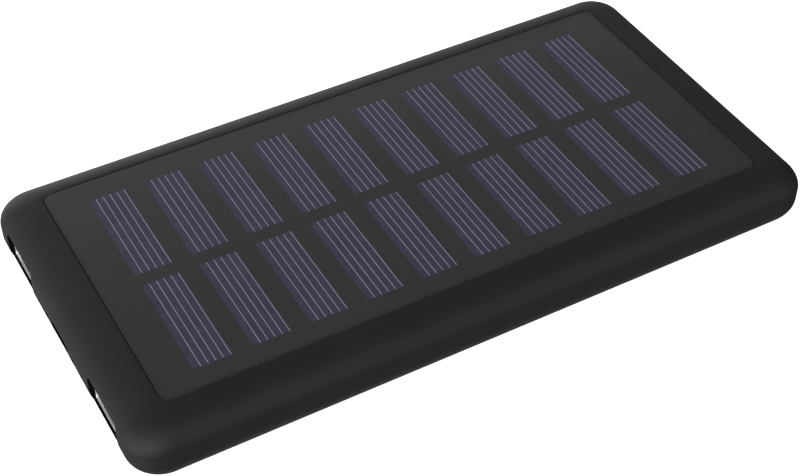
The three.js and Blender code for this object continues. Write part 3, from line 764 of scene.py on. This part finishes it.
def add_camera():
    data = bpy.data.cameras.new("camera")
    data.lens = LENS
    data.sensor_width = 36
    data.clip_start = 0.01
    camera = bpy.data.objects.new("camera", data)
    bpy.context.scene.collection.objects.link(camera)
    right = CAMERA_FORWARD.cross(CAMERA_UP).normalized()
    up = right.cross(CAMERA_FORWARD).normalized()
    rotation = Matrix((right, up, -CAMERA_FORWARD)).transposed()
    camera.matrix_world = Matrix.Translation(CAMERA_PLACE) @ rotation.to_4x4()
    bpy.context.scene.camera = camera


# Soft lights around the charger: (azimuth, elevation, strength), in degrees.
# A least-squares fit made every strength but the last, which was given on its own.
SOFT_LIGHTS = (
    (90, -5, 1.08),
    (90, 15, 0.63),
    (180, -5, 2.06),
    (180, 20, 0.31),
    (225, 28, 2.86),
    (270, 28, 0.36),
    (315, 12, 0.62),
    (45, 28, 0.2),
    (80, 60, 0.06),
    (0, -80, 0.5),
)
LIGHT_TIGHTNESS = 7


def add_soft_lights(world):
    """A dark room with broad lights that fade smoothly around their own directions."""
    world.use_nodes = True
    nodes, links = world.node_tree.nodes, world.node_tree.links
    direction = nodes.new("ShaderNodeTexCoord").outputs["Generated"]

    def step(kind, operation, first, second=None):
        node = nodes.new(kind)
        node.operation = operation
        links.new(first, node.inputs[0])
        if second is not None:
            if isinstance(second, bpy.types.NodeSocket):
                links.new(second, node.inputs[1])
            else:
                node.inputs[1].default_value = second
        return node.outputs["Value"]

    total = None
    for azimuth, elevation, strength in SOFT_LIGHTS:
        a, e = math.radians(azimuth), math.radians(elevation)
        aim = (math.cos(e) * math.cos(a), math.cos(e) * math.sin(a), math.sin(e))
        facing = step("ShaderNodeVectorMath", "DOT_PRODUCT", direction, aim)
        away = step("ShaderNodeMath", "SUBTRACT", facing, 1)
        fade = step("ShaderNodeMath", "EXPONENT", step("ShaderNodeMath", "MULTIPLY", away, LIGHT_TIGHTNESS))
        glow = step("ShaderNodeMath", "MULTIPLY", fade, strength)
        total = glow if total is None else step("ShaderNodeMath", "ADD", total, glow)
    links.new(total, nodes["Background"].inputs["Color"])


def white_backdrop():
    """Plain white seen from inside the room, and clear seen from below the floor."""
    material, nodes, links, shader = new_material("white_backdrop")
    shader.inputs["Base Color"].default_value = (0.9, 0.9, 0.9, 1)
    shader.inputs["Emission Color"].default_value = (1, 1, 1, 1)
    shader.inputs["Emission Strength"].default_value = 1.0
    face_side = nodes.new("ShaderNodeNewGeometry").outputs["Backfacing"]
    clear = nodes.new("ShaderNodeBsdfTransparent")
    mix = nodes.new("ShaderNodeMixShader")
    links.new(face_side, mix.inputs[0])
    links.new(shader.outputs["BSDF"], mix.inputs[1])
    links.new(clear.outputs["BSDF"], mix.inputs[2])
    links.new(mix.outputs["Shader"], nodes["Material Output"].inputs["Surface"])
    return material


def add_backdrop():
    """A plain white floor and surround. They are seen, but neither light the charger nor shade it."""
    white = white_backdrop()
    reach = 3.0
    corners = [(-reach, -reach, 0), (reach, -reach, 0), (reach, reach, 0), (-reach, reach, 0)]
    floor = mesh_object("floor", corners, [(0, 1, 2, 3)], body=None)
    dome_mesh = bpy.data.meshes.new("surround")
    dome_bm = bmesh.new()
    bmesh.ops.create_icosphere(dome_bm, subdivisions=4, radius=reach)
    bmesh.ops.reverse_faces(dome_bm, faces=dome_bm.faces)
    dome_bm.to_mesh(dome_mesh)
    dome_bm.free()
    dome = bpy.data.objects.new("surround", dome_mesh)
    bpy.context.scene.collection.objects.link(dome)
    for piece in (floor, dome):
        piece.data.materials.append(white)
        for ray in ("diffuse", "glossy", "transmission", "shadow", "volume_scatter"):
            setattr(piece, f"visible_{ray}", False)


def add_studio():
    scene = bpy.context.scene
    scene.view_settings.view_transform = "Standard"
    scene.world = bpy.data.worlds.new("studio")
    add_soft_lights(scene.world)
    add_backdrop()


# ------------------------------------------------------------------ assembly

add_camera()
finish_cad_nodes()
build_casing()
build_cover()
build_panel()
build_sockets()
build_light_guides()
build_button()
add_studio()
